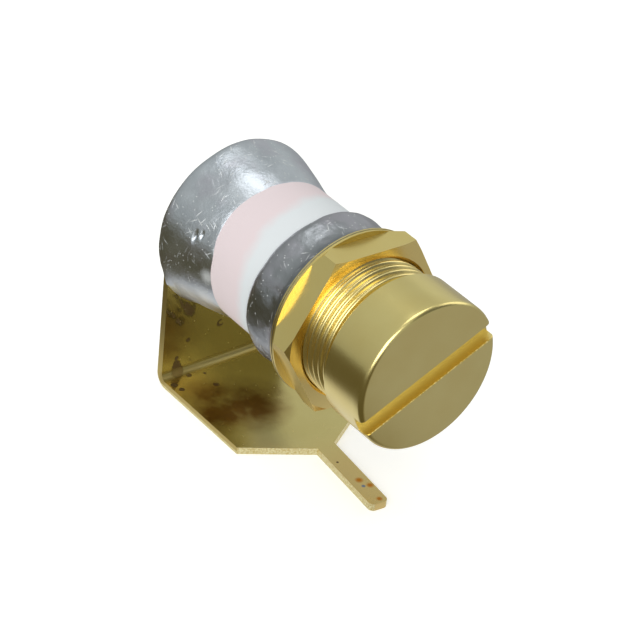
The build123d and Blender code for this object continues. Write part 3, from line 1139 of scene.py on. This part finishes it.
def resample(points, spacing):
    """More points along an outline, evenly spaced on a smooth curve through them."""
    out = []
    for i in range(len(points) - 1):
        before = points[max(i - 1, 0)]
        start, end = points[i], points[i + 1]
        after = points[min(i + 2, len(points) - 1)]
        steps = max(1, round(math.dist(start, end) / spacing))
        for step in range(steps):
            t = step / steps
            out.append(tuple(
                0.5 * (2 * start[k] + (end[k] - before[k]) * t
                       + (2 * before[k] - 5 * start[k] + 4 * end[k] - after[k]) * t * t
                       + (3 * start[k] - before[k] - 3 * end[k] + after[k]) * t ** 3)
                for k in (0, 1)
            ))
    out.append(points[-1])
    return out


# %% Rear bead
outline_spacing = 0.04
rear_segments = 512
wall_back = rear_solder_back
rear_outline = resample([
    (wall_back - 0.01, 2.97), (wall_back - 0.02, 3.16),
    (wall_back + 0.03, 3.34), (wall_back + 0.16, 3.45),
    (wall_back + 0.38, 3.47), (wall_back + 0.93, 3.38),
    (wall_back + 1.74, 3.20), (wall_back + 2.34, 3.03),
    (wall_back + 2.55, 2.965), (wall_back + 2.66, 2.92),
], outline_spacing)
rear_inner = [(wall_back + 2.60, 2.86), (wall_back + 1.2, 2.86), (wall_back + 0.2, 2.86)]
rear_front_edge = [
    (20, -0.30), (69, -0.31), (99, -0.37), (129, -0.50),
    (151, -0.42), (172, -0.22), (209, -0.09), (250, -0.20),
    (310, -0.35),
]


# Lumps are height, size and seed. Dents are depth, x, degrees and their reach along and around.
rear_lumps = [(0.045, 1.5, 0.4), (0.012, 0.6, 7.7), (0.004, 0.25, 2.2)]
rear_dents = [(0.10, -1.24, 160, 0.11, 0.34), (0.08, -0.98, 157, 0.08, 0.24)]
flare_height = 0.16
flare_reach = 0.28
outer_skin = 2.9


def shape_rear_bead(x, radius, angle):
    """Wraps the bead round the wall's top, flares it on the wall's face below, and adds lumps."""
    below = math.sin(angle)
    wrapped = ease(below, -0.56, -0.34)
    back_limit = wall_front - 0.02
    along = (x - wall_back) / (rear_solder_front - wall_back)
    if radius > outer_skin:
        flare = (1 - wrapped) * ease(along, flare_reach, 0.0) * flare_height
        edge = along_angles(angle, rear_front_edge) - rear_solder_front + 0.04 * lump(0, angle, 0.7, 3.1)
        swell = swelling(x, angle, rear_lumps)
        pits = sum(depth * dent(x, angle, *place_and_reach) for depth, *place_and_reach in rear_dents)
        x = x + edge * ease(along, 0.55, 1.0)
        radius = radius + flare + (swell - pits) * ease(radius, 2.91, 3.1)
    started = x if x > back_limit else back_limit + 0.02 * (x - back_limit)
    return started + (x - started) * wrapped, radius


mesh = skin_round_barrel(rear_outline + rear_inner, rear_segments, shape_rear_bead, closed=True)
rear_bead = mesh_object("rear_solder_bead", mesh, tin_solder)
smooth(rear_bead, 60)
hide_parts("rear_solder")
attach(rear_bead, "housing")
print("rear bead has", len(rear_bead.data.polygons), "faces")

# %% Front bead
front_segments = 384
front_outline = resample([
    (front_solder_back - 0.02, 2.90), (front_solder_back + 0.02, 3.00),
    (front_solder_back + 0.14, 3.12),
    (front_solder_back + 0.35, 3.20), (front_solder_back + 0.60, 3.21),
    (front_solder_back + 1.00, 3.16),
    (front_solder_back + 1.35, 3.11), (front_solder_back + 1.62, 3.14),
    (front_solder_back + 1.90, 3.27),
    (front_solder_front, 3.40), (front_solder_front + 0.09, 3.445),
], outline_spacing)
front_inner = [
    (front_solder_front - 0.02, 3.05), (front_solder_front - 0.5, 2.98),
    (front_solder_back + 0.3, 2.86),
]
front_lumps = [(0.03, 1.0, 5.5), (0.02, 0.42, 9.1), (0.008, 0.2, 1.1)]
front_rear_edge = [
    (20, 2.20), (73, 2.28), (104, 2.38), (138, 2.30), (170, 2.21), (200, 2.20), (270, 2.24),
]


def shape_front_bead(x, radius, angle):
    """Adds lumps to the front bead and lets its rear edge wander on the ceramic."""
    along = (x - front_solder_back) / (front_solder_front - front_solder_back)
    if radius > 2.89 and (x, radius) not in front_inner:
        edge = along_angles(angle, front_rear_edge) - front_solder_back + 0.03 * lump(0, angle, 0.6, 12.3)
        x = x + edge * (1 - ease(along, 0.0, 0.5))
        held = ease(along, 0.0, 0.15) * (1 - ease(along, 0.8, 1.0))
        radius = radius + held * swelling(x, angle, front_lumps)
    return x, radius


mesh = skin_round_barrel(front_outline + front_inner, front_segments, shape_front_bead, closed=True)
front_bead = mesh_object("front_solder_bead", mesh, tin_solder)
smooth(front_bead, 60)
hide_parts("front_solder")
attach(front_bead, "housing")
print("front bead has", len(front_bead.data.polygons), "faces")
